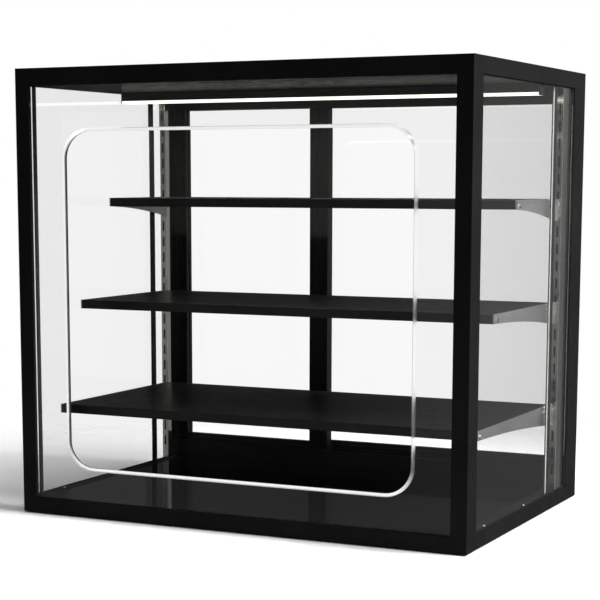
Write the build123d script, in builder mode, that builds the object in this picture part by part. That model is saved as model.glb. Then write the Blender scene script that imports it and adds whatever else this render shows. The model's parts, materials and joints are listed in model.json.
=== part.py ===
from build123d import *
import math
import os

os.makedirs("parts", exist_ok=True)

# Ambient display case, millimetres. X runs to the right, Y to the rear, Z up.
# The origin is the middle of the base, on the surface that the case stands on.
WIDTH = 900.0
DEPTH = 635.0
HEIGHT = 835.0
LEFT = -WIDTH / 2
RIGHT = WIDTH / 2
FRONT = -DEPTH / 2
REAR = DEPTH / 2

# Frame of folded steel posts and welded rails.
FOOT = 2.0
WALL = 2.5
FACE = 30.0
TUBE_WALL = 2.0
RAIL_DEPTH = 36.0
FRONT_POST = 46.0
REAR_POST = 70.0
REAR_FACE = 20.0
SILL_Z = FACE
HEAD_Z = HEIGHT - FACE
SIDE_END = REAR - REAR_POST

# Panes and their gaskets.
GLASS_IN = 4.0
FRONT_GLASS = 8.0
SIDE_GLASS = 6.0
GASKET = 1.5
PANE_LOW = SILL_Z + GASKET
PANE_HIGH = HEAD_Z - GASKET
PANE_BACK = FRONT + 568.5
OPENING_WIDTH = 690.0
OPENING_HEIGHT = 638.0
OPENING_Z = 410.0
OPENING_RADIUS = 57.0
BEVEL_WIDTH = 6.0
BEVEL_DEPTH = 2.0
STRIP_FRONT = FRONT + 43.0
STRIP_REAR = FRONT + 472.0

# Ceiling, deck and roof sheets.
SHEET = 1.5
LINER = 2.0
LINER_Z = HEAD_Z - LINER
ROOF_Z = 834.0

# Slotted uprights and the brackets that hook into them.
UPRIGHT_X = LEFT + 17.5
UPRIGHT_WIDTH = 14.0
UPRIGHT_FACE = FRONT + 515.0
UPRIGHT_RETURN = 15.0
SLOT_PITCH = 33.0
SLOT_HEIGHT = 20.0
SLOT_WIDTH = 3.8
SLOT_COUNT = 22
SLOT_FIRST = 61.0
BRACKET_SHEET = 2.5
BRACKET_X = LEFT + 24.0
HOOK_TIP = 6.0

# Faceted screws: sides of a head, of a shank and of its hole, and the hole's corners.
HEAD_SIDES = 10
SHANK_SIDES = 8
SHANK_RADIUS = 1.95
HOLE_RADIUS = 2.15

# Shelves, as (name, underside of the lip, front edge).
LIP = 17.0
SHELF_BACK = FRONT + 512.0
SHELVES = {
    "lower": (182.0, FRONT + 101.0),
    "middle": (380.0, FRONT + 176.0),
    "upper": (578.0, FRONT + 288.0),
}
BRACKET_DROP = 24.0
SCREW_BACK = FRONT + 485.0

# Light bar under the ceiling.
BAR_FRONT = FRONT + 364.0
BAR_BACK = FRONT + 392.0
BAR_LOW = 784.0
BAR_SEAM = 789.0
LEAD_X = 150.0
LEAD_Y = FRONT + 378.0
LEAD_Z = 816.0
LEAD_RADIUS = 2.0

# Rear sliding doors and their tracks.
TRACK_BACK = REAR - WALL
TRACK_LOW_TOP = 66.0
TRACK_FLOOR = 52.0
TRACK_HIGH_LOW = 778.0
LANE = 32.5
DOOR_DEPTH = 24.0
DOOR_LOW = 60.0
DOOR_HIGH = 786.0
DOOR_GLASS = 5.0
GLASS_STEP = 9.5
GLASS_LOW = 71.5
GLASS_HIGH = 782.5
STILE_WIDTH = 40.0
GLASS_INSET = 31.0

# Doors, as (name, left edge, front face, width).
DOORS = {
    "left_door": (LEFT + 3.0, FRONT + 569.5, 375.0),
    "right_door": (LEFT + 323.0, FRONT + 602.0, 570.0),
}

# Switch and power inlet in the rear of the roof box.
CONTROL_Z = 820.0
SWITCH_X = 195.0
INLET_X = 250.0
PANEL_Y = REAR - WALL
ROCKER_TILT = 10.0
ROCKER_PIVOT_Y = REAR - 7.5


def span(a0, a1, b0, b1, mode=Mode.ADD):
    """Rectangle between two corners, in the sketch's own axes."""
    with Locations(((a0 + a1) / 2, (b0 + b1) / 2)):
        Rectangle(a1 - a0, b1 - b0, mode=mode)


def pan_screw(head_radius, head_height, shank_length):
    """Domed hex-socket screw along +Z, with the underside of its head at the origin."""
    with BuildPart() as screw:
        with BuildSketch():
            RegularPolygon(head_radius, HEAD_SIDES)
        extrude(amount=head_height, taper=28)
        with BuildSketch():
            RegularPolygon(SHANK_RADIUS, SHANK_SIDES)
        extrude(amount=-shank_length)
        with BuildSketch(Plane.XY.offset(head_height)):
            RegularPolygon(head_radius * 0.38, 6)
        extrude(amount=-head_height * 0.7, mode=Mode.SUBTRACT)
    return screw.part


# Corner posts: folded angles, open on the inside, rounded along the fold.
with BuildPart() as front_left_post:
    with BuildSketch(Plane.XY.offset(FOOT)):
        span(LEFT, LEFT + FACE, FRONT, FRONT + WALL)
        span(LEFT, LEFT + WALL, FRONT, FRONT + FRONT_POST)
    extrude(amount=HEIGHT - FOOT)
    fold = edges().filter_by(Axis.Z).sort_by_distance((LEFT, FRONT, HEIGHT / 2))[0]
    fillet(fold, radius=1.2)
front_left_post.part.label = "front_left_post"
export_step(front_left_post.part, "parts/front_left_post.step")

with BuildPart() as front_right_post:
    mirror(front_left_post.part, about=Plane.YZ)
front_right_post.part.label = "front_right_post"
export_step(front_right_post.part, "parts/front_right_post.step")

with BuildPart() as rear_left_post:
    with BuildSketch(Plane.XY.offset(FOOT)):
        span(LEFT, LEFT + REAR_FACE, REAR - WALL, REAR)
        span(LEFT, LEFT + WALL, SIDE_END, REAR)
    extrude(amount=HEIGHT - FOOT)
    fold = edges().filter_by(Axis.Z).sort_by_distance((LEFT, REAR, HEIGHT / 2))[0]
    fillet(fold, radius=2.4)
rear_left_post.part.label = "rear_left_post"
export_step(rear_left_post.part, "parts/rear_left_post.step")

with BuildPart() as rear_right_post:
    mirror(rear_left_post.part, about=Plane.YZ)
rear_right_post.part.label = "rear_right_post"
export_step(rear_right_post.part, "parts/rear_right_post.step")

# Front rails: a shallow tube below the pane and a deep one above it.
with BuildPart() as front_bottom_rail:
    with BuildSketch(Plane.YZ.offset(LEFT + FACE)):
        span(FRONT, FRONT + 12.0, FOOT, SILL_Z)
        span(FRONT + TUBE_WALL, FRONT + 10.0, FOOT + TUBE_WALL, SILL_Z - TUBE_WALL, Mode.SUBTRACT)
    extrude(amount=WIDTH - 2 * FACE)
front_bottom_rail.part.label = "front_bottom_rail"
export_step(front_bottom_rail.part, "parts/front_bottom_rail.step")

with BuildPart() as front_top_rail:
    with BuildSketch(Plane.YZ.offset(LEFT + FACE)):
        span(FRONT, FRONT + RAIL_DEPTH, HEAD_Z, HEIGHT)
        span(
            FRONT + TUBE_WALL,
            FRONT + RAIL_DEPTH - TUBE_WALL,
            HEAD_Z + TUBE_WALL,
            HEIGHT - TUBE_WALL,
            Mode.SUBTRACT,
        )
    extrude(amount=WIDTH - 2 * FACE)
front_top_rail.part.label = "front_top_rail"
export_step(front_top_rail.part, "parts/front_top_rail.step")


def side_tube(low, high):
    """Square side tube on the left, from the front post to the rear post."""
    with BuildPart() as tube:
        with BuildSketch(Plane.XZ.offset(-SIDE_END)):
            span(LEFT, LEFT + RAIL_DEPTH, low, high)
            span(
                LEFT + TUBE_WALL,
                LEFT + RAIL_DEPTH - TUBE_WALL,
                low + TUBE_WALL,
                high - TUBE_WALL,
                Mode.SUBTRACT,
            )
        extrude(amount=SIDE_END - FRONT - FRONT_POST)
    return tube.part


# Side rails. The lower ones carry a ledge with screws down into the tube.
LEDGE_SCREWS = [(LEFT + 17.0, FRONT + 120.0), (LEFT + 17.0, FRONT + 338.0)]
FOOT_SCREW = (UPRIGHT_X, FRONT + 542.0)
with BuildPart() as left_bottom_rail:
    add(side_tube(FOOT, SILL_Z))
    with BuildSketch(Plane.XY.offset(SILL_Z)):
        with Locations(*LEDGE_SCREWS, FOOT_SCREW):
            RegularPolygon(HOLE_RADIUS, SHANK_SIDES)
    extrude(amount=-TUBE_WALL, mode=Mode.SUBTRACT)
left_bottom_rail.part.label = "left_bottom_rail"
export_step(left_bottom_rail.part, "parts/left_bottom_rail.step")

with BuildPart() as right_bottom_rail:
    mirror(left_bottom_rail.part, about=Plane.YZ)
right_bottom_rail.part.label = "right_bottom_rail"
export_step(right_bottom_rail.part, "parts/right_bottom_rail.step")

with BuildPart() as left_top_rail:
    add(side_tube(HEAD_Z, HEIGHT))
left_top_rail.part.label = "left_top_rail"
export_step(left_top_rail.part, "parts/left_top_rail.step")

with BuildPart() as right_top_rail:
    mirror(left_top_rail.part, about=Plane.YZ)
right_top_rail.part.label = "right_top_rail"
export_step(right_top_rail.part, "parts/right_top_rail.step")

# Rear rails: channels folded open towards the inside of the case.
RAIL_LENGTH = WIDTH - 2 * WALL
with BuildPart() as rear_bottom_rail:
    with BuildSketch(Plane.YZ.offset(LEFT + WALL)):
        span(SIDE_END, PANEL_Y, FOOT, SILL_Z)
        span(SIDE_END, PANEL_Y - WALL, FOOT + WALL, SILL_Z - WALL, Mode.SUBTRACT)
    extrude(amount=RAIL_LENGTH)
rear_bottom_rail.part.label = "rear_bottom_rail"
export_step(rear_bottom_rail.part, "parts/rear_bottom_rail.step")

TRACK_SCREWS = [(x, y) for x in (-330.0, 330.0) for y in (SIDE_END + 17.5, SIDE_END + 50.0)]
with BuildPart() as rear_top_rail:
    with BuildSketch(Plane.YZ.offset(LEFT + WALL)):
        span(SIDE_END, PANEL_Y, HEAD_Z, HEIGHT)
        span(SIDE_END, PANEL_Y - WALL, HEAD_Z + WALL, HEIGHT - WALL, Mode.SUBTRACT)
    extrude(amount=RAIL_LENGTH)
    # Cut-outs for the snap-in switch and the power inlet.
    with BuildSketch(Plane.XZ.offset(-PANEL_Y)):
        with Locations((SWITCH_X, CONTROL_Z)):
            Rectangle(13.1, 19.9)
        with Locations((INLET_X, CONTROL_Z)):
            Rectangle(27.3, 19.9)
        with Locations((INLET_X - 20.0, CONTROL_Z), (INLET_X + 20.0, CONTROL_Z)):
            Circle(1.6)
    extrude(amount=WALL, mode=Mode.SUBTRACT)
    with BuildSketch(Plane.XY.offset(HEAD_Z)):
        with Locations(*TRACK_SCREWS):
            RegularPolygon(HOLE_RADIUS, SHANK_SIDES)
    extrude(amount=WALL, mode=Mode.SUBTRACT)
rear_top_rail.part.label = "rear_top_rail"
export_step(rear_top_rail.part, "parts/rear_top_rail.step")

# Blocks inside the posts, which join them to the rails.
with BuildPart() as corner_blocks:
    with BuildSketch(Plane.XY.offset(FOOT)):
        span(LEFT + WALL, LEFT + FACE, FRONT + WALL, FRONT + FRONT_POST)
        span(LEFT + FACE, LEFT + RAIL_DEPTH, FRONT + 12.0, FRONT + FRONT_POST)
    extrude(amount=SILL_Z - FOOT)
    with BuildSketch(Plane.XY.offset(HEAD_Z)):
        span(LEFT + WALL, LEFT + FACE, FRONT + WALL, FRONT + FRONT_POST)
        span(LEFT + FACE, LEFT + RAIL_DEPTH, FRONT + RAIL_DEPTH, FRONT + FRONT_POST)
    extrude(amount=HEIGHT - HEAD_Z)
    with BuildSketch(Plane.XY.offset(FOOT + WALL), Plane.XY.offset(HEAD_Z + WALL)):
        span(LEFT + WALL, LEFT + RAIL_DEPTH, SIDE_END, PANEL_Y - WALL)
    extrude(amount=FACE - FOOT - 2 * WALL)
    mirror(about=Plane.YZ)
corner_blocks.part.label = "corner_blocks"
export_step(corner_blocks.part, "parts/corner_blocks.step")

# Rubber pads that the case rests on.
with BuildPart() as base_pads:
    with BuildSketch():
        with Locations(
            (LEFT + 18.0, FRONT + 24.0),
            (RIGHT - 18.0, FRONT + 24.0),
            (LEFT + 18.0, REAR - 35.0),
            (RIGHT - 18.0, REAR - 35.0),
        ):
            RegularPolygon(12.0, 20)
    extrude(amount=FOOT)
base_pads.part.label = "base_pads"
export_step(base_pads.part, "parts/base_pads.step")

# Base pan and the glossy deck folded down over it.
INNER = WIDTH - 2 * RAIL_DEPTH
DECK_FRONT = FRONT + 12.0
DECK_MID = (DECK_FRONT + SIDE_END) / 2
DECK_DEPTH = SIDE_END - DECK_FRONT
with BuildPart() as deck_panel:
    with BuildSketch(Plane.XY.offset(FOOT)):
        with Locations((0, DECK_MID)):
            Rectangle(INNER, DECK_DEPTH)
    extrude(amount=SILL_Z - FOOT)
    offset(amount=-SHEET, openings=faces().sort_by(Axis.Z)[0])
deck_panel.part.label = "deck_panel"
export_step(deck_panel.part, "parts/deck_panel.step")

with BuildPart() as base_pan:
    with BuildSketch(Plane.XY.offset(FOOT)):
        with Locations((0, DECK_MID)):
            Rectangle(INNER - 2 * SHEET, DECK_DEPTH - 2 * SHEET)
    extrude(amount=13.0)
    offset(amount=-SHEET, openings=faces().sort_by(Axis.Z)[-1])
base_pan.part.label = "base_pan"
export_step(base_pan.part, "parts/base_pan.step")

# Ceiling liner and the folded roof lid that stands on it between the rails.
with BuildPart() as ceiling_liner:
    with BuildSketch(Plane.XY.offset(LINER_Z)):
        span(LEFT + 10.0, RIGHT - 10.0, DECK_FRONT, SIDE_END)
        with Locations((LEAD_X, LEAD_Y)):
            Circle(LEAD_RADIUS + 0.4, mode=Mode.SUBTRACT)
    extrude(amount=LINER)
ceiling_liner.part.label = "ceiling_liner"
export_step(ceiling_liner.part, "parts/ceiling_liner.step")

with BuildPart() as roof_panel:
    with BuildSketch(Plane.XY.offset(HEAD_Z)):
        span(LEFT + RAIL_DEPTH, RIGHT - RAIL_DEPTH, FRONT + RAIL_DEPTH, SIDE_END)
    extrude(amount=ROOF_Z - HEAD_Z)
    fillet(edges().group_by(Axis.Z)[-1], radius=1.0)
    offset(amount=-SHEET, openings=faces().sort_by(Axis.Z)[0])
roof_panel.part.label = "roof_panel"
export_step(roof_panel.part, "parts/roof_panel.step")

# Front pane with its round-cornered opening, bevelled on both faces.
with BuildPart() as front_glass:
    with BuildSketch(Plane.XZ.offset(-(FRONT + GLASS_IN + FRONT_GLASS))):
        span(LEFT + GLASS_IN, RIGHT - GLASS_IN, PANE_LOW, PANE_HIGH)
        with Locations((0, OPENING_Z)):
            RectangleRounded(
                OPENING_WIDTH, OPENING_HEIGHT, OPENING_RADIUS, mode=Mode.SUBTRACT
            )
    extrude(amount=FRONT_GLASS)
    for side in (0, -1):
        pane_face = faces().filter_by(Axis.Y).sort_by(Axis.Y)[side]
        rim = pane_face.inner_wires()[0].edges()
        chamfer(rim, length=BEVEL_WIDTH, length2=BEVEL_DEPTH, reference=pane_face)
front_glass.part.label = "front_glass"
export_step(front_glass.part, "parts/front_glass.step")

with BuildPart() as left_glass:
    with BuildSketch(Plane.XY.offset(PANE_LOW)):
        span(LEFT + GLASS_IN, LEFT + GLASS_IN + SIDE_GLASS, FRONT + 13.0, PANE_BACK)
    extrude(amount=PANE_HIGH - PANE_LOW)
    chamfer(edges().filter_by(Axis.Z), length=0.8)
left_glass.part.label = "left_glass"
export_step(left_glass.part, "parts/left_glass.step")

with BuildPart() as right_glass:
    mirror(left_glass.part, about=Plane.YZ)
right_glass.part.label = "right_glass"
export_step(right_glass.part, "parts/right_glass.step")

# Gaskets: strips above and below each pane and tape behind the post flanges.
with BuildPart() as front_glass_seal:
    with BuildSketch(Plane.XY.offset(SILL_Z), Plane.XY.offset(PANE_HIGH)):
        span(LEFT + GLASS_IN, RIGHT - GLASS_IN, FRONT + GLASS_IN, FRONT + GLASS_IN + FRONT_GLASS)
    extrude(amount=GASKET)
    with BuildSketch(Plane.XY.offset(PANE_LOW)):
        span(LEFT + GLASS_IN, LEFT + 28.0, FRONT + WALL, FRONT + GLASS_IN)
        span(RIGHT - 28.0, RIGHT - GLASS_IN, FRONT + WALL, FRONT + GLASS_IN)
    extrude(amount=PANE_HIGH - PANE_LOW)
front_glass_seal.part.label = "front_glass_seal"
export_step(front_glass_seal.part, "parts/front_glass_seal.step")

with BuildPart() as left_glass_seal:
    with BuildSketch(Plane.XY.offset(SILL_Z), Plane.XY.offset(PANE_HIGH)):
        span(LEFT + GLASS_IN, LEFT + 10.0, FRONT + 13.0, PANE_BACK)
    extrude(amount=GASKET)
    with BuildSketch(Plane.XY.offset(PANE_LOW)):
        span(LEFT + WALL, LEFT + GLASS_IN, FRONT + 13.0, FRONT + 44.0)
        span(LEFT + WALL, LEFT + GLASS_IN, SIDE_END, PANE_BACK)
        span(LEFT + GLASS_IN, LEFT + 10.0, FRONT + 12.0, FRONT + 12.8)
    extrude(amount=PANE_HIGH - PANE_LOW)
    # Inner strips all the way up: one covers the edge of the tape, one is near the upright.
    with BuildSketch(Plane.XY.offset(SILL_Z)):
        span(LEFT + 10.0, LEFT + 12.5, STRIP_FRONT, STRIP_FRONT + 10.0)
        span(LEFT + 10.0, LEFT + 12.5, STRIP_REAR, STRIP_REAR + 15.0)
    extrude(amount=LINER_Z - SILL_Z)
left_glass_seal.part.label = "left_glass_seal"
export_step(left_glass_seal.part, "parts/left_glass_seal.step")

with BuildPart() as right_glass_seal:
    mirror(left_glass_seal.part, about=Plane.YZ)
right_glass_seal.part.label = "right_glass_seal"
export_step(right_glass_seal.part, "parts/right_glass_seal.step")

# Slotted uprights: folded strips with a deep flange at the pane and a narrow one inside,
# and a foot folded back on the rail.
with BuildPart() as left_upright:
    inner = UPRIGHT_X - UPRIGHT_WIDTH / 2
    outer = UPRIGHT_X + UPRIGHT_WIDTH / 2
    with BuildSketch(Plane.XY.offset(SILL_Z)):
        span(inner, outer, UPRIGHT_FACE, SIDE_END)
        span(inner + SHEET, outer - SHEET, UPRIGHT_FACE + SHEET, SIDE_END, Mode.SUBTRACT)
        span(outer - SHEET, outer, UPRIGHT_FACE + UPRIGHT_RETURN, SIDE_END, Mode.SUBTRACT)
    extrude(amount=LINER_Z - SILL_Z)
    fillet(edges().filter_by(Axis.Z).group_by(Axis.Y)[0], radius=1.4)
    with BuildSketch(Plane.XY.offset(SILL_Z)):
        span(inner + SHEET, outer - SHEET, UPRIGHT_FACE + SHEET, UPRIGHT_FACE + 42.0)
        with Locations(FOOT_SCREW):
            RegularPolygon(HOLE_RADIUS, SHANK_SIDES, mode=Mode.SUBTRACT)
    extrude(amount=2.0)
    with BuildSketch(Plane.XZ.offset(-(UPRIGHT_FACE + 2.0))):
        with Locations((UPRIGHT_X, SLOT_FIRST + (SLOT_COUNT - 1) * SLOT_PITCH / 2 + SLOT_HEIGHT / 2)):
            with GridLocations(0, SLOT_PITCH, 1, SLOT_COUNT):
                Rectangle(SLOT_WIDTH, SLOT_HEIGHT)
    extrude(amount=2.5, mode=Mode.SUBTRACT)
left_upright.part.label = "left_upright"
export_step(left_upright.part, "parts/left_upright.step")

with BuildPart() as right_upright:
    mirror(left_upright.part, about=Plane.YZ)
right_upright.part.label = "right_upright"
export_step(right_upright.part, "parts/right_upright.step")


def screw_points(lip_z, front_y):
    """Places of the three screws through each bracket, as (y, z)."""
    return [
        (front_y + 18.0, lip_z + 6.0),
        (SCREW_BACK, lip_z + 13.0),
        (SCREW_BACK, lip_z + 3.8),
    ]


def shelf_tray(lip_z, front_y):
    """Folded shelf with flanges all round and a hem under its front lip."""
    x0 = BRACKET_X + BRACKET_SHEET
    with BuildPart() as tray:
        with BuildSketch(Plane.XY.offset(lip_z)):
            span(x0, -x0, front_y, SHELF_BACK)
        extrude(amount=LIP)
        fillet(edges().filter_by(Axis.X).group_by(Axis.Z)[-1].sort_by(Axis.Y)[0], radius=1.4)
        offset(amount=-SHEET, openings=faces().sort_by(Axis.Z)[0])
        with BuildSketch(Plane.XY.offset(lip_z)):
            span(x0 + SHEET, -x0 - SHEET, front_y + SHEET, front_y + 11.0)
            span(x0 + SHEET, -x0 - SHEET, SHELF_BACK - 11.0, SHELF_BACK - SHEET)
        extrude(amount=SHEET)
        with BuildSketch(Plane.YZ.offset(x0)):
            with Locations(*screw_points(lip_z, front_y)):
                RegularPolygon(HOLE_RADIUS, SHANK_SIDES)
        extrude(amount=-2 * x0, mode=Mode.SUBTRACT)
    return tray.part


def left_bracket(lip_z, front_y):
    """Bracket plate with a concave lower edge, folded at the back into two hooks."""
    top = lip_z + LIP
    back = UPRIGHT_FACE - BRACKET_SHEET
    low = lip_z - BRACKET_DROP
    slot = lip_z - 22.0
    with BuildPart() as bracket:
        with BuildSketch(Plane.YZ.offset(BRACKET_X)):
            with BuildLine():
                Polyline((front_y, lip_z), (front_y, top), (back, top), (back, low))
                ThreePointArc(
                    (back, low),
                    ((front_y + back) / 2, lip_z - 0.31 * BRACKET_DROP),
                    (front_y, lip_z),
                )
            make_face()
            with Locations(*screw_points(lip_z, front_y)):
                RegularPolygon(HOLE_RADIUS, SHANK_SIDES, mode=Mode.SUBTRACT)
        extrude(amount=BRACKET_SHEET)
        # Rear flange, in front of the upright.
        with BuildSketch(Plane.XZ.offset(-UPRIGHT_FACE)):
            span(UPRIGHT_X - BRACKET_SHEET / 2, BRACKET_X + BRACKET_SHEET, low, top)
        extrude(amount=BRACKET_SHEET)
        # Hooks through the slots, with tips hanging behind the upright's web.
        tip = UPRIGHT_FACE + SHEET + 0.25
        with BuildSketch(Plane.YZ.offset(UPRIGHT_X - BRACKET_SHEET / 2)):
            for seat, crown in ((slot, slot + 12.0), (slot + SLOT_PITCH, top)):
                with BuildLine():
                    Polyline(
                        (UPRIGHT_FACE, seat),
                        (tip, seat),
                        (tip, seat - HOOK_TIP),
                        (tip + BRACKET_SHEET, seat - HOOK_TIP),
                        (tip + BRACKET_SHEET, crown),
                        (UPRIGHT_FACE, crown),
                        close=True,
                    )
                make_face()
        extrude(amount=BRACKET_SHEET)
    return bracket.part


with BuildPart() as lower_shelf:
    add(shelf_tray(*SHELVES["lower"]))
lower_shelf.part.label = "lower_shelf"
export_step(lower_shelf.part, "parts/lower_shelf.step")

with BuildPart() as middle_shelf:
    add(shelf_tray(*SHELVES["middle"]))
middle_shelf.part.label = "middle_shelf"
export_step(middle_shelf.part, "parts/middle_shelf.step")

with BuildPart() as upper_shelf:
    add(shelf_tray(*SHELVES["upper"]))
upper_shelf.part.label = "upper_shelf"
export_step(upper_shelf.part, "parts/upper_shelf.step")

for level, (lip_z, front_y) in SHELVES.items():
    with BuildPart() as left_arm:
        add(left_bracket(lip_z, front_y))
    left_arm.part.label = f"{level}_left_bracket"
    export_step(left_arm.part, f"parts/{level}_left_bracket.step")

    with BuildPart() as right_arm:
        mirror(left_arm.part, about=Plane.YZ)
    right_arm.part.label = f"{level}_right_bracket"
    export_step(right_arm.part, f"parts/{level}_right_bracket.step")

# Screws through each bracket into the flange of its shelf.
shelf_screw = pan_screw(4.0, 2.2, 6.0)
with BuildPart() as shelf_screws:
    for lip_z, front_y in SHELVES.values():
        for y, z in screw_points(lip_z, front_y):
            with Locations(Location((BRACKET_X, y, z), (0, -90, 0))):
                add(shelf_screw)
            with Locations(Location((-BRACKET_X, y, z), (0, 90, 0))):
                add(shelf_screw)
shelf_screws.part.label = "shelf_screws"
export_step(shelf_screws.part, "parts/shelf_screws.step")

# Screws of the frame: ledges, upright feet, door track and power inlet.
frame_screw = pan_screw(4.0, 2.2, 9.0)
with BuildPart() as inlet_screw:
    with BuildSketch(Plane.XZ):
        with BuildLine():
            Polyline((0, 0), (3.4, 0), (1.6, -1.8), (1.55, -10.0), (0, -10.0), close=True)
        make_face()
    revolve(axis=Axis.Z)
with BuildPart() as case_screws:
    for side in (1, -1):
        with Locations(*[(side * x, y, SILL_Z) for x, y in LEDGE_SCREWS]):
            add(frame_screw)
        with Locations((side * FOOT_SCREW[0], FOOT_SCREW[1], SILL_Z + 2.0)):
            add(frame_screw)
    for x, y in TRACK_SCREWS:
        with Locations(Location((x, y, HEAD_Z - WALL), (180, 0, 0))):
            add(frame_screw)
    for x in (INLET_X - 20.0, INLET_X + 20.0):
        with Locations(Location((x, PANEL_Y + 2.0, CONTROL_Z), (-90, 0, 0))):
            add(inlet_screw.part)
case_screws.part.label = "case_screws"
export_step(case_screws.part, "parts/case_screws.step")

# Light bar: folded housing, clipped diffuser, board with its lights, end caps.
BAR_END = RIGHT - 12.0
with BuildPart() as light_housing:
    with BuildSketch(Plane.YZ.offset(-BAR_END)):
        span(BAR_FRONT, BAR_BACK, BAR_SEAM, LINER_Z)
        span(BAR_FRONT + SHEET, BAR_BACK - SHEET, BAR_SEAM, LINER_Z - SHEET, Mode.SUBTRACT)
    extrude(amount=2 * BAR_END)
    with Locations((LEAD_X, LEAD_Y, LINER_Z)):
        Hole(radius=LEAD_RADIUS + 0.4, depth=SHEET)
light_housing.part.label = "light_housing"
export_step(light_housing.part, "parts/light_housing.step")

with BuildPart() as light_diffuser:
    with BuildSketch(Plane.YZ.offset(-BAR_END)):
        span(BAR_FRONT, BAR_BACK, BAR_LOW, BAR_SEAM)
        span(BAR_FRONT + SHEET, BAR_BACK - SHEET, BAR_SEAM, BAR_SEAM + 5.0)
        span(BAR_FRONT + 3.0, BAR_BACK - 3.0, BAR_LOW + SHEET, BAR_SEAM + 5.0, Mode.SUBTRACT)
    extrude(amount=2 * BAR_END)
light_diffuser.part.label = "light_diffuser"
export_step(light_diffuser.part, "parts/light_diffuser.step")

with BuildPart() as light_board:
    board_z = LINER_Z - SHEET - 1.6
    with BuildSketch(Plane.XY.offset(board_z)):
        with Locations((0, (BAR_FRONT + BAR_BACK) / 2)):
            Rectangle(2 * BAR_END - 16.0, 18.0)
    extrude(amount=1.6)
    with BuildSketch(Plane.XY.offset(board_z)):
        with Locations((0, (BAR_FRONT + BAR_BACK) / 2)):
            with GridLocations(36.0, 0, 24, 1):
                Rectangle(5.0, 5.0)
    extrude(amount=-1.0)
light_board.part.label = "light_board"
export_step(light_board.part, "parts/light_board.step")

with BuildPart() as light_end_caps:
    with BuildSketch(Plane.YZ.offset(-BAR_END - 2.0), Plane.YZ.offset(BAR_END)):
        span(BAR_FRONT, BAR_BACK, BAR_LOW, LINER_Z)
    extrude(amount=2.0)
light_end_caps.part.label = "light_end_caps"
export_step(light_end_caps.part, "parts/light_end_caps.step")

# Driver for the lights, on the liner inside the roof box, and its lead.
DRIVER_X0 = 190.0
with BuildPart() as led_driver:
    with BuildSketch(Plane.XY.offset(HEAD_Z)):
        span(DRIVER_X0, DRIVER_X0 + 160.0, SIDE_END - 65.0, SIDE_END - 20.0)
    extrude(amount=24.0)
    chamfer(edges().filter_by(Axis.Z), length=3.0)
    with BuildSketch(Plane.XY.offset(HEAD_Z)):
        span(DRIVER_X0 - 12.0, DRIVER_X0 + 172.0, SIDE_END - 60.0, SIDE_END - 49.0)
        with Locations((DRIVER_X0 - 6.0, SIDE_END - 54.5), (DRIVER_X0 + 166.0, SIDE_END - 54.5)):
            RegularPolygon(HOLE_RADIUS, SHANK_SIDES, mode=Mode.SUBTRACT)
    extrude(amount=2.0)
led_driver.part.label = "led_driver"
export_step(led_driver.part, "parts/led_driver.step")

with BuildPart() as light_lead:
    lead_y = SIDE_END - 35.0
    with BuildLine():
        FilletPolyline(
            (DRIVER_X0, lead_y, LEAD_Z),
            (LEAD_X, lead_y, LEAD_Z),
            (LEAD_X, LEAD_Y, LEAD_Z),
            (LEAD_X, LEAD_Y, LINER_Z - SHEET),
            radius=10.0,
        )
    with BuildSketch(Plane(origin=(DRIVER_X0, lead_y, LEAD_Z), z_dir=(-1, 0, 0))):
        RegularPolygon(LEAD_RADIUS, SHANK_SIDES)
    sweep()
light_lead.part.label = "light_lead"
export_step(light_lead.part, "parts/light_lead.step")

# Rocker switch that snaps into the rear panel.
with BuildPart() as switch_bezel:
    with BuildSketch(Plane.XZ.offset(-(PANEL_Y + 1.5))):
        with Locations((SWITCH_X, CONTROL_Z)):
            Rectangle(15.0, 23.0)
    extrude(amount=1.5)
    fillet(edges().filter_by(Axis.Y), radius=1.0)
    with BuildSketch(Plane.XZ.offset(-PANEL_Y)):
        with Locations((SWITCH_X, CONTROL_Z)):
            Rectangle(13.0, 19.8)
    extrude(amount=16.0)
    with BuildSketch(Plane.XZ.offset(-(PANEL_Y + 1.5))):
        with Locations((SWITCH_X, CONTROL_Z)):
            Rectangle(10.2, 17.2)
    extrude(amount=14.0, mode=Mode.SUBTRACT)
    with BuildSketch(Plane.YZ.offset(SWITCH_X)):
        with Locations((ROCKER_PIVOT_Y, CONTROL_Z)):
            Circle(1.55)
    extrude(amount=8.0, both=True, mode=Mode.SUBTRACT)
switch_bezel.part.label = "switch_bezel"
export_step(switch_bezel.part, "parts/switch_bezel.step")

# The rocker rests in its on position, tilted about its pin.
tilt = math.radians(ROCKER_TILT)
rocker_plane = Plane(
    origin=(SWITCH_X, ROCKER_PIVOT_Y, CONTROL_Z),
    x_dir=(0, math.cos(tilt), math.sin(tilt)),
    z_dir=(1, 0, 0),
)
with BuildPart() as switch_rocker:
    with BuildSketch(rocker_plane):
        with BuildLine():
            ThreePointArc((5.2, -7.4), (4.4, 0), (5.2, 7.4))
            Polyline((5.2, 7.4), (1.0, 7.4), (-2.5, 3.0), (-2.5, -3.0), (1.0, -7.4), (5.2, -7.4))
        make_face()
    extrude(amount=4.9, both=True)
    with BuildSketch(rocker_plane):
        Circle(1.5)
    extrude(amount=6.1, both=True)
switch_rocker.part.label = "switch_rocker"
export_step(switch_rocker.part, "parts/switch_rocker.step")

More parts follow.
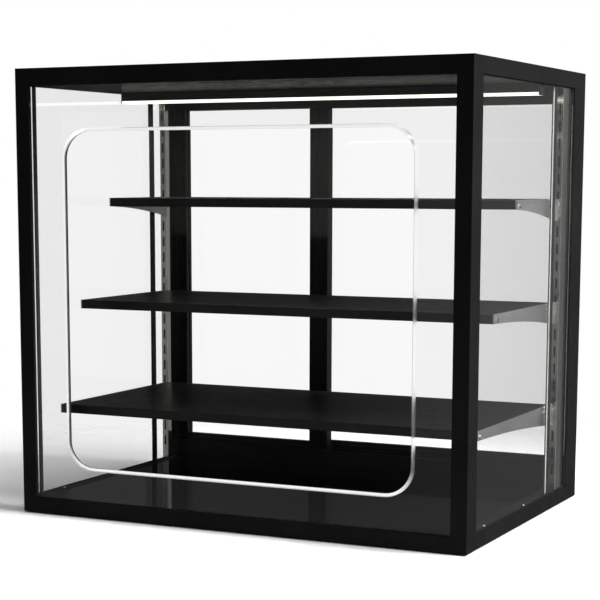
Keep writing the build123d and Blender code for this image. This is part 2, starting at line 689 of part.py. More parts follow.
# Power inlet: flange with countersunk screws, keyed cavity and three pins.
PIN_SEAT = PANEL_Y - 15.0
with BuildPart() as power_inlet:
    with BuildSketch(Plane.XZ.offset(-(PANEL_Y + 2.0))):
        with Locations((INLET_X, CONTROL_Z)):
            Rectangle(50.0, 23.0)
    extrude(amount=2.0)
    fillet(edges().filter_by(Axis.Y), radius=4.0)
    with BuildSketch(Plane.XZ.offset(-PANEL_Y)):
        with Locations((INLET_X, CONTROL_Z)):
            Rectangle(27.2, 19.8)
    extrude(amount=20.0)
    inlet_face = Plane(
        origin=(INLET_X, PANEL_Y + 2.0, CONTROL_Z), x_dir=(1, 0, 0), z_dir=(0, -1, 0)
    )
    with BuildSketch(inlet_face):
        with BuildLine():
            Polyline(
                (-12.1, -8.0),
                (12.1, -8.0),
                (12.1, 3.6),
                (7.7, 8.0),
                (-7.7, 8.0),
                (-12.1, 3.6),
                close=True,
            )
        make_face()
    extrude(amount=17.0, mode=Mode.SUBTRACT)
    for x in (INLET_X - 20.0, INLET_X + 20.0):
        with Locations(Location((x, PANEL_Y + 2.0, CONTROL_Z), (-90, 0, 0))):
            CounterSinkHole(radius=1.6, counter_sink_radius=3.4, depth=2.0, counter_sink_angle=90)
power_inlet.part.label = "power_inlet"
export_step(power_inlet.part, "parts/power_inlet.step")

with BuildPart() as inlet_pins:
    pins = [(INLET_X - 7.0, CONTROL_Z - 2.0), (INLET_X + 7.0, CONTROL_Z - 2.0), (INLET_X, CONTROL_Z + 2.0)]
    with BuildSketch(Plane.XZ.offset(-PIN_SEAT)):
        with Locations(*pins):
            Rectangle(2.0, 4.0)
    extrude(amount=-14.5)
    with BuildSketch(Plane.XZ.offset(-(PANEL_Y - 20.0))):
        with Locations(*pins):
            Rectangle(4.8, 0.8)
    extrude(amount=8.0)
inlet_pins.part.label = "inlet_pins"
export_step(inlet_pins.part, "parts/inlet_pins.step")

# Door tracks: extrusions with two lanes each. The upper lanes are deeper than the
# lower lips are high, so that a door lifts out.
TRACK_LENGTH = WIDTH - 20.0
LIPS = [SIDE_END, SIDE_END + LANE, SIDE_END + 2 * LANE]
with BuildPart() as lower_door_track:
    with BuildSketch(Plane.YZ.offset(LEFT + 10.0)):
        span(SIDE_END, TRACK_BACK, SILL_Z, TRACK_FLOOR)
        for lip_y in LIPS:
            span(lip_y, lip_y + WALL, TRACK_FLOOR, TRACK_LOW_TOP)
        for lip_y in LIPS[:2]:
            span(lip_y + WALL, lip_y + LANE, SILL_Z + 2.0, TRACK_FLOOR - 2.0, Mode.SUBTRACT)
    extrude(amount=TRACK_LENGTH)
lower_door_track.part.label = "lower_door_track"
export_step(lower_door_track.part, "parts/lower_door_track.step")

with BuildPart() as upper_door_track:
    with BuildSketch(Plane.YZ.offset(LEFT + 10.0)):
        span(SIDE_END, TRACK_BACK, HEAD_Z - WALL, HEAD_Z)
        for lip_y in LIPS:
            span(lip_y, lip_y + WALL, TRACK_HIGH_LOW, HEAD_Z)
    extrude(amount=TRACK_LENGTH)
    with BuildSketch(Plane.XY.offset(HEAD_Z)):
        with Locations(*TRACK_SCREWS):
            RegularPolygon(HOLE_RADIUS, SHANK_SIDES)
    extrude(amount=-WALL, mode=Mode.SUBTRACT)
upper_door_track.part.label = "upper_door_track"
export_step(upper_door_track.part, "parts/upper_door_track.step")

# Jambs at both ends of the tracks. All the way up they close the lane that no door fills
# there: the rear lane on the left, the front lane on the right. Blocks close the tracks.
FIN_Y = SIDE_END + LANE
with BuildPart() as door_jambs:
    with BuildSketch(Plane.XY.offset(SILL_Z)):
        span(LEFT + WALL, LEFT + 10.0, FIN_Y, TRACK_BACK)
        span(RIGHT - 10.0, RIGHT - WALL, PANE_BACK, FIN_Y + WALL)
    extrude(amount=HEAD_Z - SILL_Z)
    with BuildSketch(Plane.XY.offset(SILL_Z)):
        span(LEFT + WALL, LEFT + 10.0, PANE_BACK, TRACK_BACK)
        span(RIGHT - 10.0, RIGHT - WALL, PANE_BACK, TRACK_BACK)
    extrude(amount=TRACK_FLOOR - SILL_Z)
    with BuildSketch(Plane.XY.offset(HEAD_Z)):
        span(LEFT + WALL, LEFT + 10.0, PANE_BACK, TRACK_BACK)
        span(RIGHT - 10.0, RIGHT - WALL, PANE_BACK, TRACK_BACK)
    extrude(amount=-WALL)
door_jambs.part.label = "door_jambs"
export_step(door_jambs.part, "parts/door_jambs.step")


def door_stile(x0, y0, width):
    """Two extruded stiles: stepped front faces, glass grooves, a finger recess in the left."""
    glass_y = y0 + GLASS_STEP
    x1 = x0 + width - STILE_WIDTH
    with BuildPart() as stile:
        with BuildSketch(Plane.XY.offset(DOOR_LOW)):
            for edge in (x0, x1):
                span(edge, edge + STILE_WIDTH, y0, y0 + DOOR_DEPTH)
                span(edge + 19.5, edge + 35.5, y0, y0 + 1.2, Mode.SUBTRACT)
            span(x0 + 3.0, x0 + 28.0, y0 + 3.0, y0 + 13.0, Mode.SUBTRACT)
            span(x1 + 12.0, x1 + 37.0, y0 + 3.0, y0 + 13.0, Mode.SUBTRACT)
            span(x0 + GLASS_INSET, x1 + 9.0, glass_y, glass_y + DOOR_GLASS, Mode.SUBTRACT)
        extrude(amount=DOOR_HIGH - DOOR_LOW)
        with BuildSketch(Plane.XZ.offset(-(y0 + DOOR_DEPTH))):
            with Locations((x0 + 17.0, 420.0)):
                SlotOverall(240.0, 26.0, rotation=90)
        extrude(amount=8.0, taper=18, mode=Mode.SUBTRACT)
    return stile.part


def door_rail(x0, y0, width, bands, groove_low, groove_high):
    """Glazing rail of one or two bands (inset, low, high), with a groove for the glass."""
    glass_y = y0 + GLASS_STEP
    with BuildPart() as rail:
        with BuildSketch(Plane.YZ.offset(x0 + STILE_WIDTH)):
            for inset, low, high in bands:
                span(y0 + inset, y0 + DOOR_DEPTH - inset, low, high)
            span(glass_y, glass_y + DOOR_GLASS, groove_low, groove_high, Mode.SUBTRACT)
        extrude(amount=width - 2 * STILE_WIDTH)
    return rail.part


def door_glass(x0, y0, width):
    """Clear door pane, let into both stiles and both rails."""
    with BuildPart() as pane:
        with BuildSketch(Plane.XY.offset(GLASS_LOW)):
            span(
                x0 + GLASS_INSET,
                x0 + width - GLASS_INSET,
                y0 + GLASS_STEP,
                y0 + GLASS_STEP + DOOR_GLASS,
            )
        extrude(amount=GLASS_HIGH - GLASS_LOW)
    return pane.part


def door_glides(x0, y0, width):
    """Nylon shoes under the door and guide plates on top of it."""
    places = [(x0 + 32.0, y0 + 13.0), (x0 + width - 32.0, y0 + 13.0)]
    with BuildPart() as glides:
        with BuildSketch(Plane.XY.offset(TRACK_FLOOR + 0.1)):
            with Locations(*places):
                Rectangle(44.0, 29.4)
            chamfer(vertices(), length=2.0)
        extrude(amount=DOOR_LOW - TRACK_FLOOR - 0.1)
        with BuildSketch(Plane.XY.offset(DOOR_HIGH)):
            with Locations(*places):
                Rectangle(44.0, 29.4)
            chamfer(vertices(), length=2.0)
        extrude(amount=2.0)
    return glides.part


# Two closed doors of unequal width, whose stiles overlap where the doors meet. Their slim
# top rails run inside the upper track.
TOP_BANDS = [(2.0, TRACK_HIGH_LOW, DOOR_HIGH)]
BOTTOM_BANDS = [(2.0, DOOR_LOW, 74.0), (5.0, 74.0, 81.5)]
for door, (x0, y0, width) in DOORS.items():
    with BuildPart() as stile:
        add(door_stile(x0, y0, width))
    stile.part.label = f"{door}_stile"
    export_step(stile.part, f"parts/{door}_stile.step")

    with BuildPart() as top_rail:
        add(door_rail(x0, y0, width, TOP_BANDS, TRACK_HIGH_LOW, GLASS_HIGH))
    top_rail.part.label = f"{door}_top_rail"
    export_step(top_rail.part, f"parts/{door}_top_rail.step")

    with BuildPart() as bottom_rail:
        add(door_rail(x0, y0, width, BOTTOM_BANDS, GLASS_LOW, 81.5))
    bottom_rail.part.label = f"{door}_bottom_rail"
    export_step(bottom_rail.part, f"parts/{door}_bottom_rail.step")

    with BuildPart() as pane:
        add(door_glass(x0, y0, width))
    pane.part.label = f"{door}_glass"
    export_step(pane.part, f"parts/{door}_glass.step")

    with BuildPart() as glides:
        add(door_glides(x0, y0, width))
    glides.part.label = f"{door}_glides"
    export_step(glides.part, f"parts/{door}_glides.step")
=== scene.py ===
import json
import math

import bmesh
import bpy
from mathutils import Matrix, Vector


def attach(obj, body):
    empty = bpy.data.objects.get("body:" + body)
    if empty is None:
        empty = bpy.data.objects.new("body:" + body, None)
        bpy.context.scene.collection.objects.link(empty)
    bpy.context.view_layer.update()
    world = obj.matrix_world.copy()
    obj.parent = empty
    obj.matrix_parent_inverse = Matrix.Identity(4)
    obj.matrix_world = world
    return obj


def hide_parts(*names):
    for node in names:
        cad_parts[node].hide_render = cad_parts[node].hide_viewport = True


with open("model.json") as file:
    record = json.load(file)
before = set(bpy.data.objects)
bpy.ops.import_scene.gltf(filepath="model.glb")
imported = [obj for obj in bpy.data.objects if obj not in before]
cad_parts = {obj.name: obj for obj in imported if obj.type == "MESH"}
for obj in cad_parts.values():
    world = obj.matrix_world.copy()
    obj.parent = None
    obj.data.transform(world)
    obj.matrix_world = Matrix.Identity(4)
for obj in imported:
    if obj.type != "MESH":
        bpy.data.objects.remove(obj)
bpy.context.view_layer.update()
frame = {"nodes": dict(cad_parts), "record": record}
nodes = frame["nodes"]
scene = bpy.context.scene
scene.view_settings.view_transform = "Standard"

# Camera

# Fitted to the outer corners of the photographed case. The place is in metres, the angles are in
# degrees, the shift in widths of the sensor, and the sensor and the lens in millimetres.
CAMERA_PLACE = (1.4357, -3.0410, 0.6340)
CAMERA_TILT = 81.547
CAMERA_TURN = 26.365
CAMERA_SHIFT = (0.0437, 0.2268)
CAMERA_SENSOR = 36.0
CAMERA_LENS = 104.09

camera_data = bpy.data.cameras.new("camera")
camera_data.sensor_width = CAMERA_SENSOR
camera_data.lens = CAMERA_LENS
camera_data.shift_x, camera_data.shift_y = CAMERA_SHIFT
camera = bpy.data.objects.new("camera", camera_data)
camera.location = CAMERA_PLACE
camera.rotation_euler = (math.radians(CAMERA_TILT), 0.0, math.radians(CAMERA_TURN))
scene.collection.objects.link(camera)
scene.camera = camera


# Node helpers

# Noise scales are in cells per metre, bump depths and edge radii in metres.
class Tree:
    """A node tree, with short calls for the few kinds of node that are used here."""

    def __init__(self, tree):
        self.nodes = tree.nodes
        self.links = tree.links

    def add(self, kind, **settings):
        node = self.nodes.new(kind)
        for key, value in settings.items():
            setattr(node, key, value)
        return node

    def join(self, source, node, socket):
        """Set a socket to a number, or link an output to it."""
        if isinstance(source, float):
            node.inputs[socket].default_value = source
        else:
            self.links.new(source, node.inputs[socket])

    def compute(self, operation, first, second=None, clamp=False):
        node = self.add("ShaderNodeMath", operation=operation, use_clamp=clamp)
        self.join(first, node, 0)
        if second is not None:
            self.join(second, node, 1)
        return node.outputs["Value"]

    def parts(self, vector):
        """The outputs X, Y and Z of a vector."""
        node = self.add("ShaderNodeSeparateXYZ")
        self.join(vector, node, "Vector")
        return node.outputs


class Finish(Tree):
    """A material with one shader, whose patterns follow the object's own coordinates."""

    def __init__(self, name):
        self.material = bpy.data.materials.new(name)
        self.material.use_nodes = True
        super().__init__(self.material.node_tree)
        self.shader = self.nodes["Principled BSDF"]
        self.place = self.add("ShaderNodeTexCoord").outputs["Object"]

    def true_normal(self):
        return self.parts(self.add("ShaderNodeNewGeometry").outputs["True Normal"])

    def noise(self, scale, detail=2.0, rough=0.5):
        """Noise whose scale is one number, or one for each axis."""
        stretch = self.add("ShaderNodeMapping")
        stretch.inputs["Scale"].default_value = scale if isinstance(scale, tuple) else (scale,) * 3
        self.join(self.place, stretch, "Vector")
        node = self.add("ShaderNodeTexNoise")
        node.inputs["Scale"].default_value = 1.0
        node.inputs["Detail"].default_value = detail
        node.inputs["Roughness"].default_value = rough
        self.join(stretch.outputs["Vector"], node, "Vector")
        return node.outputs["Fac"]

    def drawn_noise(self, along, across_scale, along_scale, detail):
        """Noise drawn out along one axis, as a profile's or a polisher's grain is."""
        scale = [across_scale] * 3
        scale[along] = along_scale
        return self.noise(tuple(scale), detail, rough=0.6)

    def remap(self, source, low, high, at_low=0.3, at_high=0.7):
        node = self.add("ShaderNodeMapRange")
        node.inputs["From Min"].default_value = at_low
        node.inputs["From Max"].default_value = at_high
        node.inputs["To Min"].default_value = low
        node.inputs["To Max"].default_value = high
        self.join(source, node, "Value")
        return node.outputs["Result"]

    def shades(self, source, dark, light):
        """Colours between two, over the middle of a noise's range."""
        node = self.add("ShaderNodeValToRGB")
        for element, position, colour in zip(node.color_ramp.elements, (0.3, 0.7), (dark, light)):
            element.position = position
            element.color = (*colour, 1.0)
        self.join(source, node, "Fac")
        return node.outputs["Color"]

    def blend(self, factor, first, second):
        """One colour where the factor is 0 and another where it is 1."""
        node = self.add("ShaderNodeMix", data_type="RGBA")
        first_colour, second_colour, mixed_colour = 6, 7, 2
        self.join(factor, node, "Factor")
        self.join(first, node, first_colour)
        self.join(second, node, second_colour)
        return node.outputs[mixed_colour]

    def bump(self, height, depth, strength, under=None):
        node = self.add("ShaderNodeBump")
        node.inputs["Strength"].default_value = strength
        node.inputs["Distance"].default_value = depth
        self.join(height, node, "Height")
        if under is not None:
            self.join(under, node, "Normal")
        return node.outputs["Normal"]

    def soft_edges(self, radius):
        """Normals that turn over the edges, as a small radius would."""
        node = self.add("ShaderNodeBevel", samples=4)
        node.inputs["Radius"].default_value = radius
        return node.outputs["Normal"]

    def feed(self, socket, source):
        self.join(source, self.shader, socket)

    def glow(self, colour):
        self.shader.inputs["Emission Color"].default_value = (*colour, 1.0)


# Kinds of finish
ALONG_X, ALONG_Y, ALONG_Z = range(3)
GLASS_IOR = 1.45
# How squarely a normal points out of a pane: 1 on its faces, 0 on its cut edges. The cut edges
# end between the first two numbers, and the faces begin between the last two.
END_OF_EDGES = (0.50, 0.60)
START_OF_FACES = (0.96, 0.985)
# A strip's pale face, a painted highlight, is less far out than the first number, and the product
# of its normal's X and its own X is over the second.
PALE_REACH = 0.4355
PALE_TURN = 0.3
# Counts of a ray's bounces are whole numbers, so below this there are none.
NO_BOUNCE = 0.5
RUBBER_BLACK = (0.006, 0.006, 0.006)
RUBBER_GREY = (0.011, 0.011, 0.011)
WARM_BLACK = (0.006, 0.006, 0.0055)
WARM_GREY = (0.010, 0.010, 0.009)


def powder_coat(name, dark, light, rough, specular, peel=0.00006):
    """Sprayed powder: fine orange peel, faint clouding and softened edges."""
    look = Finish(name)
    look.feed("Base Color", look.shades(look.noise(9.0, detail=4.0), dark, light))
    look.feed("Roughness", look.remap(look.noise(40.0, detail=3.0), rough - 0.05, rough + 0.06))
    look.feed("Normal", look.bump(look.noise(900.0), peel, strength=0.5,
                                  under=look.soft_edges(0.0006)))
    look.feed("Specular IOR Level", specular)
    return look.material


def anodised(name, dark, light, rough, along, specular=0.5):
    """Extruded and anodised aluminium: a fine draw grain along the profile."""
    look = Finish(name)
    grain = look.drawn_noise(along, across_scale=1400.0, along_scale=14.0, detail=3.0)
    look.feed("Base Color", look.shades(grain, dark, light))
    look.feed("Roughness", look.remap(grain, rough - 0.06, rough + 0.08))
    look.feed("Normal", look.bump(grain, 0.00002, strength=0.4, under=look.soft_edges(0.0005)))
    look.feed("Specular IOR Level", specular)
    return look.material


def steel(name, dark, light, rough, along):
    """Bare metal with a polishing grain along one axis and faint cloudy wear."""
    look = Finish(name)
    grain = look.drawn_noise(along, across_scale=1800.0, along_scale=12.0, detail=2.0)
    look.feed("Base Color", look.shades(look.noise(30.0, detail=4.0, rough=0.6), dark, light))
    look.feed("Roughness", look.remap(grain, rough - 0.04, rough + 0.10))
    look.feed("Normal", look.bump(grain, 0.00002, strength=0.35, under=look.soft_edges(0.0004)))
    look.feed("Metallic", 1.0)
    return look.material


def mould_grain(look, rough, depth):
    """The etched grain and softened edges of moulded plastic and rubber."""
    look.feed("Roughness", look.remap(look.noise(120.0, detail=3.0), rough - 0.06, rough + 0.08))
    look.feed("Normal", look.bump(look.noise(1200.0), depth, strength=0.5,
                                  under=look.soft_edges(0.0005)))


def moulded(name, dark, light, rough, depth=0.00005):
    """Moulded plastic or rubber: even colour, a fine etched grain, softened edges."""
    look = Finish(name)
    look.feed("Base Color", look.shades(look.noise(25.0, detail=3.0), dark, light))
    mould_grain(look, rough, depth)
    return look.material


def rubber_with_painted_highlight():
    """Black rubber, whose rear strip has a pale painted highlight on the face that is turned to the
    pane.
    """
    look = Finish("strip_rubber_painted_highlight")
    black = look.shades(look.noise(25.0, detail=3.0), RUBBER_BLACK, RUBBER_GREY)
    # The pale face is a painted highlight, not a colour of the rubber.
    pale = look.shades(look.noise(40.0), (0.42, 0.42, 0.41), (0.50, 0.50, 0.49))
    # Outward is away from the middle plane, and that face is nearer to it than the pane's rubber.
    spot_x = look.parts(look.place)["X"]
    turn = look.compute("MULTIPLY", look.true_normal()["X"], spot_x)
    outward = look.compute("GREATER_THAN", turn, PALE_TURN)
    inside = look.compute("LESS_THAN", look.compute("ABSOLUTE", spot_x), PALE_REACH)
    look.feed("Base Color", look.blend(look.compute("MULTIPLY", outward, inside), black, pale))
    mould_grain(look, 0.55, 0.00005)
    return look.material


def glass(name, dark, light, faces="Y", bevel=False):
    """Float glass: nearly clear, with a faint tint, a very slight waviness and dark cut edges."""
    look = Finish(name)
    normal = look.true_normal()
    across = look.compute("ABSOLUTE", normal[faces])
    # The cut edges turn away from the pane's faces, and look dark and greenish.
    edge = look.remap(across, 1.0, 0.0, *END_OF_EDGES)
    face_tint = look.shades(look.noise(2.5), dark, light)
    edge_tint = look.shades(look.noise(60.0), (0.010, 0.016, 0.013), (0.020, 0.030, 0.025))
    look.feed("Base Color", look.blend(edge, face_tint, edge_tint))
    look.feed("Normal", look.bump(look.noise(5.0, detail=1.0), 0.00002, strength=0.3))
    look.feed("IOR", GLASS_IOR)
    smudge = look.remap(look.noise(7.0, detail=4.0), 0.0, 0.012, at_low=0.45, at_high=0.75)
    clear = look.remap(edge, 1.0, 0.25, at_low=0.0, at_high=1.0)
    if bevel:
        # The bevel of the opening is ground: it scatters light, so it looks pale.
        off_face = look.remap(across, 1.0, 0.0, *START_OF_FACES)
        rim = look.compute("SUBTRACT", off_face, edge, clamp=True)
        ground = look.compute("MULTIPLY", rim, look.remap(look.noise(40.0), 0.14, 0.20))
        smudge = look.compute("ADD", ground, smudge)
        # Its upper and lower runs glow more than its upright ones, and are a little less clear
        # there: a painted glow that stands in for the light bar's light.
        level = look.compute("ABSOLUTE", normal["Z"])
        painted_glow = look.compute("MULTIPLY", rim, look.remap(level, 0.1, 1.0, at_low=0.05, at_high=0.28))
        clear = look.compute("MULTIPLY", clear, look.remap(painted_glow, 1.0, 0.80, at_low=0.0, at_high=1.0))
        look.feed("Emission Strength", look.remap(painted_glow, 0.0, 0.40, at_low=0.0, at_high=1.0))
        look.glow((1.0, 1.0, 0.98))
    look.feed("Roughness", smudge)
    look.feed("Transmission Weight", clear)
    return look.material


def mirror_black():
    """Glossy black sheet: deep black under a clear, slightly smudged gloss."""
    look = Finish("gloss_sheet")
    look.feed("Base Color", look.shades(look.noise(6.0, detail=3.0),
                                        (0.004, 0.004, 0.004), (0.007, 0.007, 0.0065)))
    smudge = look.noise(14.0, detail=5.0, rough=0.6)
    look.feed("Roughness", look.remap(smudge, 0.03, 0.10, at_low=0.35, at_high=0.75))
    look.feed("Normal", look.bump(look.noise(60.0), 0.00003, strength=0.15,
                                  under=look.soft_edges(0.0006)))
    return look.material


def lamp_diffuser():
    """Frosted strip that glows along its length, a little brighter over each light."""
    look = Finish("lamp_diffuser")
    look.feed("Base Color", look.shades(look.noise(30.0), (0.86, 0.86, 0.84), (0.92, 0.92, 0.90)))
    look.feed("Roughness", look.remap(look.noise(200.0), 0.30, 0.42))
    look.feed("Normal", look.bump(look.noise(700.0), 0.00004, strength=0.4))
    look.feed("Emission Strength", look.remap(look.noise((28.0, 1.0, 1.0), detail=1.0), 1.3, 1.7))
    look.glow((1.0, 0.96, 0.86))
    return look.material


# Finishes, by slot
finish = {
    "frame_black": powder_coat("frame_coat", (0.0065, 0.0065, 0.0063), (0.0092, 0.0092, 0.009),
                               rough=0.40, specular=0.07),
    "sheet_dark": powder_coat("sheet_coat", (0.008, 0.008, 0.008), (0.012, 0.012, 0.012),
                              rough=0.42, specular=0.10),
    "shelf_black": powder_coat("shelf_coat", WARM_BLACK, WARM_GREY, rough=0.33, specular=0.5),
    "housing_black": anodised("lamp_housing", (0.012, 0.012, 0.012), (0.020, 0.020, 0.020),
                              rough=0.30, along=ALONG_X),
    "track_black": anodised("door_track", (0.016, 0.016, 0.016), (0.026, 0.026, 0.025),
                            rough=0.32, along=ALONG_X),
    "polished_steel": steel("polished_upright", (0.78, 0.76, 0.71), (0.88, 0.86, 0.81),
                            rough=0.10, along=ALONG_Z),
    "bracket_steel": steel("bracket_steel", (0.50, 0.50, 0.49), (0.60, 0.60, 0.59),
                           rough=0.33, along=ALONG_Y),
    "screw_steel": steel("screw_steel", (0.62, 0.62, 0.62), (0.80, 0.80, 0.80),
                         rough=0.16, along=ALONG_Z),
    "pin_brass": steel("pin_brass", (0.62, 0.46, 0.18), (0.76, 0.60, 0.28),
                       rough=0.20, along=ALONG_Y),
    "black_gasket": moulded("gasket_rubber", RUBBER_BLACK, RUBBER_GREY, rough=0.55),
    "pad_rubber": moulded("pad_rubber", (0.010, 0.010, 0.010), (0.018, 0.018, 0.018), rough=0.70),
    "light_board": moulded("lamp_board", (0.70, 0.71, 0.69), (0.80, 0.81, 0.79), rough=0.40),
    "cap_black": moulded("lamp_cap", (0.010, 0.010, 0.010), (0.018, 0.018, 0.018), rough=0.40),
    "driver_white": moulded("driver_plastic", (0.62, 0.62, 0.61), (0.72, 0.72, 0.71), rough=0.42),
    "lead_white": moulded("lead_plastic", (0.62, 0.62, 0.61), (0.72, 0.72, 0.71), rough=0.45),
    "switch_black": moulded("switch_plastic", (0.008, 0.008, 0.008), (0.014, 0.014, 0.014),
                            rough=0.38),
    "rocker_black": moulded("rocker_plastic", (0.005, 0.005, 0.005), (0.009, 0.009, 0.009),
                            rough=0.18, depth=0.00001),
    "nylon": moulded("glide_nylon", (0.60, 0.58, 0.52), (0.70, 0.68, 0.61), rough=0.45),
    "gloss_black": mirror_black(),
    "diffuser": lamp_diffuser(),
}
# The door's uprights and cross members are one black anodised aluminium: the darker tone of the
# uprights is painted shade, and the lighter one of the cross members is painted light.
door_upright_painted_shade = anodised("door_upright_painted_shade", (0.006, 0.006, 0.0055), (0.009, 0.009, 0.0082),
                        rough=0.30, along=ALONG_Z, specular=0.35)
door_cross_painted_light = anodised("door_cross_painted_light", (0.014, 0.014, 0.013), (0.022, 0.022, 0.020),
                      rough=0.34, along=ALONG_X)
ceiling_coat = powder_coat("ceiling_coat", WARM_BLACK, WARM_GREY, rough=0.20, specular=0.001,
                           peel=0.000003)
front_pane = glass("front_pane", (0.975, 0.985, 0.978), (0.99, 0.995, 0.99), bevel=True)
side_pane = glass("side_pane", (0.988, 0.994, 0.989), (0.996, 0.998, 0.996), faces="X")
door_pane = glass("door_pane", (0.99, 0.995, 0.99), (0.998, 0.999, 0.998))
strip_rubber_painted_highlight = rubber_with_painted_highlight()


def finish_for(node, slot):
    """A node's finish: its slot's, apart from the few that differ within a slot."""
    if slot == "clear_glass":
        if "door" in node:
            return door_pane
        return front_pane if node == "front_glass" else side_pane
    if slot == "door_black":
        # Uprights take the tone of painted shade, cross members the tone of painted light.
        return door_upright_painted_shade if "stile" in node else door_cross_painted_light
    if node == "ceiling_liner":
        return ceiling_coat
    return finish[slot]


def let_light_through(piece):
    """Light from the lamps goes through a pane as through clear air."""
    piece.visible_shadow = False
    piece.visible_diffuse = False


for subpart in frame["record"]["subparts"]:
    solid = nodes[subpart["node"]]
    for held in solid.material_slots:
        held.material = finish_for(subpart["node"], subpart["material_slot"])
    if subpart["material_slot"] == "clear_glass":
        let_light_through(solid)


# Pieces fitted to the photo


def add_piece(shape, name, material):
    """Turn a bmesh into an object of the scene with one finish."""
    mesh = bpy.data.meshes.new(name)
    shape.to_mesh(mesh)
    shape.free()
    mesh.materials.append(material)
    piece = bpy.data.objects.new(name, mesh)
    scene.collection.objects.link(piece)
    return piece


def copy_of(node):
    shape = bmesh.new()
    shape.from_mesh(nodes[node].data)
    return shape


# In the photo the rear inner strip of each side pane is a little forward of the solid one and
# off the pane, so here the solid strip becomes a thin foot, and a strip as wide as before stands
# on it. Lengths are in metres, and X is away from the middle plane.
SOLID_STRIP_Y = (0.1545, 0.1695)
SOLID_STRIP_X = 0.4375
STRIP_X = (0.4325, 0.4350)
STRIP_Y = (0.1465, 0.1615)
STRIP_Z = (0.0315, 0.8030)
FOOT_Y = (0.1532, 0.1548)
SAME = 0.00001


def move_strip(side, name):
    """Put a copy of a pane's rubber, with its rear inner strip where the photo shows it."""
    shape = copy_of(f"{name}_glass_seal")
    for vert in shape.verts:
        for old, new in zip(SOLID_STRIP_Y, FOOT_Y):
            if abs(vert.co.y - old) < SAME:
                vert.co.y = new
                if abs(abs(vert.co.x) - SOLID_STRIP_X) < SAME:
                    vert.co.x = side * STRIP_X[1]
    spans = (sorted(side * x for x in STRIP_X), STRIP_Y, STRIP_Z)
    for vert in bmesh.ops.create_cube(shape, size=1.0)["verts"]:
        vert.co = Vector([span[part > 0.0] for span, part in zip(spans, vert.co)])
    piece = add_piece(shape, f"{name}_seal_and_strip", strip_rubber_painted_highlight)
    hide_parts(f"{name}_glass_seal")
    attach(piece, "case")


for side, name in ((-1, "left"), (1, "right")):
    move_strip(side, name)

# The photo shows the opening a little lower at its top, higher at its bottom and tighter in its
# corners than the solid pane has it. Lengths are in metres.
OPENING_HALF_WIDTH = 0.345
SOLID_OPENING_Z = (0.091, 0.729)
SOLID_RADIUS = 0.057
OPENING_Z = (0.095, 0.719)
OPENING_RADIUS = 0.050
BEVEL_REACH = 0.020


def is_at_opening(spot):
    """Whether a vertex belongs to the opening or its bevel, not to the pane's outer edges."""
    low, high = SOLID_OPENING_Z
    return (abs(spot.x) < OPENING_HALF_WIDTH + BEVEL_REACH
            and low - BEVEL_REACH < spot.z < high + BEVEL_REACH)


def refit_opening(spot):
    """Where a vertex of the pane's opening or its bevel goes."""
    top = spot.z > sum(SOLID_OPENING_Z) / 2
    side = math.copysign(1.0, spot.x)
    up = 1.0 if top else -1.0
    grown = OPENING_RADIUS - SOLID_RADIUS
    # How far the vertex is out from the middle of the nearest corner's arc.
    out_x = abs(spot.x) - (OPENING_HALF_WIDTH - SOLID_RADIUS)
    out_z = up * (spot.z - SOLID_OPENING_Z[top]) + SOLID_RADIUS
    x = spot.x
    if out_x > 0.0 and out_z > 0.0:
        # On a corner: moved along its arc's radius, by as much as that changes.
        scale = 1.0 + grown / math.hypot(out_x, out_z)
        out_x, out_z = out_x * scale, out_z * scale
        x = side * (out_x + OPENING_HALF_WIDTH - OPENING_RADIUS)
    elif out_x <= 0.0:
        # On an upper or lower run: moved as far as the opening's edge is.
        out_z += grown
    return Vector((x, spot.y, OPENING_Z[top] + up * (out_z - OPENING_RADIUS)))


def refit_pane():
    """Put a copy of the front pane, with its opening as the photo shows it."""
    shape = copy_of("front_glass")
    for vert in shape.verts:
        if is_at_opening(vert.co):
            vert.co = refit_opening(vert.co)
    piece = add_piece(shape, "front_pane_fitted", front_pane)
    let_light_through(piece)
    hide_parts("front_glass")
    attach(piece, "case")


refit_pane()

# Stage
FLOOR_RADIUS = 1.3
FLOOR_FADE = (0.62 * FLOOR_RADIUS, 0.98 * FLOOR_RADIUS)
FLOOR_Z = -0.0004


def pale_floor():
    """Floor finish that thins out to nothing at the floor's rim."""
    look = Finish("floor_pale")
    look.feed("Base Color", look.shades(look.noise(3.0), (0.92, 0.92, 0.92), (0.95, 0.95, 0.95)))
    look.feed("Roughness", 0.85)
    span = look.add("ShaderNodeVectorMath", operation="LENGTH")
    look.join(look.place, span, 0)
    shown = look.remap(span.outputs["Value"], 1.0, 0.0, *FLOOR_FADE)
    # The floor leaves no glare in the panes and the gloss: mirrored rays pass through it.
    mirrored = look.add("ShaderNodeLightPath").outputs["Glossy Depth"]
    unmirrored = look.compute("LESS_THAN", mirrored, NO_BOUNCE)
    look.feed("Alpha", look.compute("MULTIPLY", shown, unmirrored))
    return look.material


disc = bmesh.new()
bmesh.ops.create_circle(disc, cap_ends=True, segments=96, radius=FLOOR_RADIUS)
floor = add_piece(disc, "floor", pale_floor())
floor.location = (0.0, 0.0, FLOOR_Z)

# Strengths of the surroundings that bounced rays meet.
SKY_BASE = 0.035
SKY_LOWER_FRONT = 0.12
SKY_RIGHT = 0.30
SKY_FRONT = 0.05


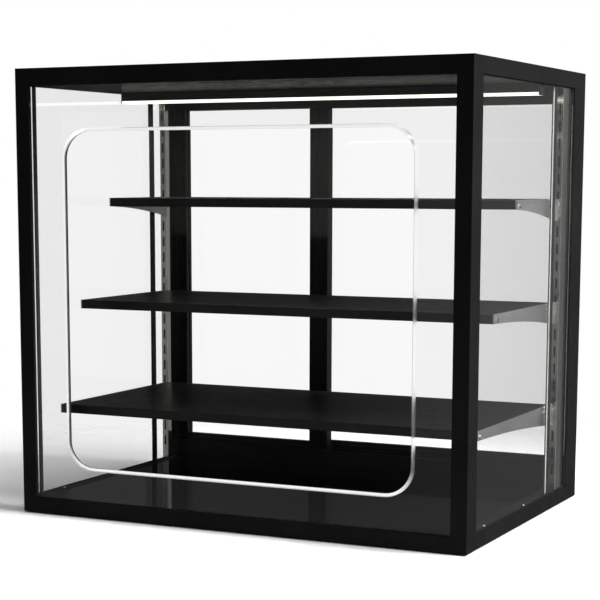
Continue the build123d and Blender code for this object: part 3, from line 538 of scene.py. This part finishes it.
def sky():
    """White straight behind the case, and dim for bounced rays, a little brighter from the
    right and from the lower front."""
    world = bpy.data.worlds.new("studio")
    scene.world = world
    world.use_nodes = True
    tree = Tree(world.node_tree)
    tree.nodes.clear()
    toward = tree.add("ShaderNodeTexCoord").outputs["Generated"]

    def lobe(direction, start, end, strength):
        """Strength that rises as a ray turns towards a direction."""
        lean = tree.add("ShaderNodeVectorMath", operation="DOT_PRODUCT")
        lean.inputs[1].default_value = Vector(direction).normalized()
        tree.join(toward, lean, 0)
        ramp = tree.add("ShaderNodeMapRange", interpolation_type="SMOOTHSTEP")
        ramp.inputs["From Min"].default_value = start
        ramp.inputs["From Max"].default_value = end
        ramp.inputs["To Min"].default_value = 0.0
        ramp.inputs["To Max"].default_value = strength
        tree.join(lean.outputs["Value"], ramp, "Value")
        return ramp.outputs["Result"]

    lower_front = tree.compute("MULTIPLY", lobe((0.0, -1.0, 0.0), 0.0, 0.7, 1.0),
                               lobe((0.0, 0.0, -1.0), -0.004, 0.012, SKY_LOWER_FRONT))
    right = lobe((1.0, 0.1, 0.25), 0.0, 0.9, SKY_RIGHT)
    front = lobe((-0.2, -1.0, 0.4), 0.2, 1.0, SKY_FRONT)
    level = tree.compute("ADD", tree.compute("ADD", lower_front, right),
                         tree.compute("ADD", front, SKY_BASE))
    ray = tree.add("ShaderNodeLightPath").outputs
    bounces = tree.compute("ADD", ray["Glossy Depth"], ray["Diffuse Depth"])
    seen = tree.compute("MAXIMUM", ray["Is Camera Ray"], ray["Is Transmission Ray"])
    straight = tree.compute("MULTIPLY", seen, tree.compute("LESS_THAN", bounces, NO_BOUNCE))
    dim = tree.add("ShaderNodeBackground")
    tree.join(level, dim, "Strength")
    white = tree.add("ShaderNodeBackground")
    white.inputs["Color"].default_value = (1.0, 1.0, 1.0, 1.0)
    mix = tree.add("ShaderNodeMixShader")
    tree.join(straight, mix, "Fac")
    tree.join(dim.outputs["Background"], mix, 1)
    tree.join(white.outputs["Background"], mix, 2)
    tree.join(mix.outputs["Shader"], tree.add("ShaderNodeOutputWorld"), "Surface")


sky()


def softbox(name, place, aim, size, power):
    data = bpy.data.lights.new(name, "AREA")
    data.shape = "RECTANGLE"
    data.size, data.size_y = size
    data.energy = power
    lamp = bpy.data.objects.new(name, data)
    lamp.location = place
    toward = Vector(aim) - Vector(place)
    lamp.rotation_euler = toward.to_track_quat("-Z", "Y").to_euler()
    scene.collection.objects.link(lamp)
    return lamp


softbox("key", place=(2.9, 0.0, 2.0), aim=(0.0, 0.0, 0.4), size=(1.6, 1.6), power=195.0)
softbox("fill", place=(-1.6, -3.2, 2.2), aim=(0.0, 0.0, 0.3), size=(2.0, 2.0), power=3.5)
softbox("top", place=(0.0, 0.4, 3.0), aim=(0.0, 0.0, 0.0), size=(2.4, 2.0), power=70.0)

# The light that the bar's own row of lights gives, just under its diffuser.
ROW_X, ROW_Y, ROW_Z = 0.21, 0.0605, 0.7825
ROW_SIZE = (0.42, 0.02)
for side in (-1, 1):
    row = softbox(f"bar_{side + 1}", place=(side * ROW_X, ROW_Y, ROW_Z),
                  aim=(side * ROW_X, ROW_Y, 0.0), size=ROW_SIZE, power=3.0)
    row.visible_camera = False
    row.visible_transmission = False
    row.visible_glossy = False
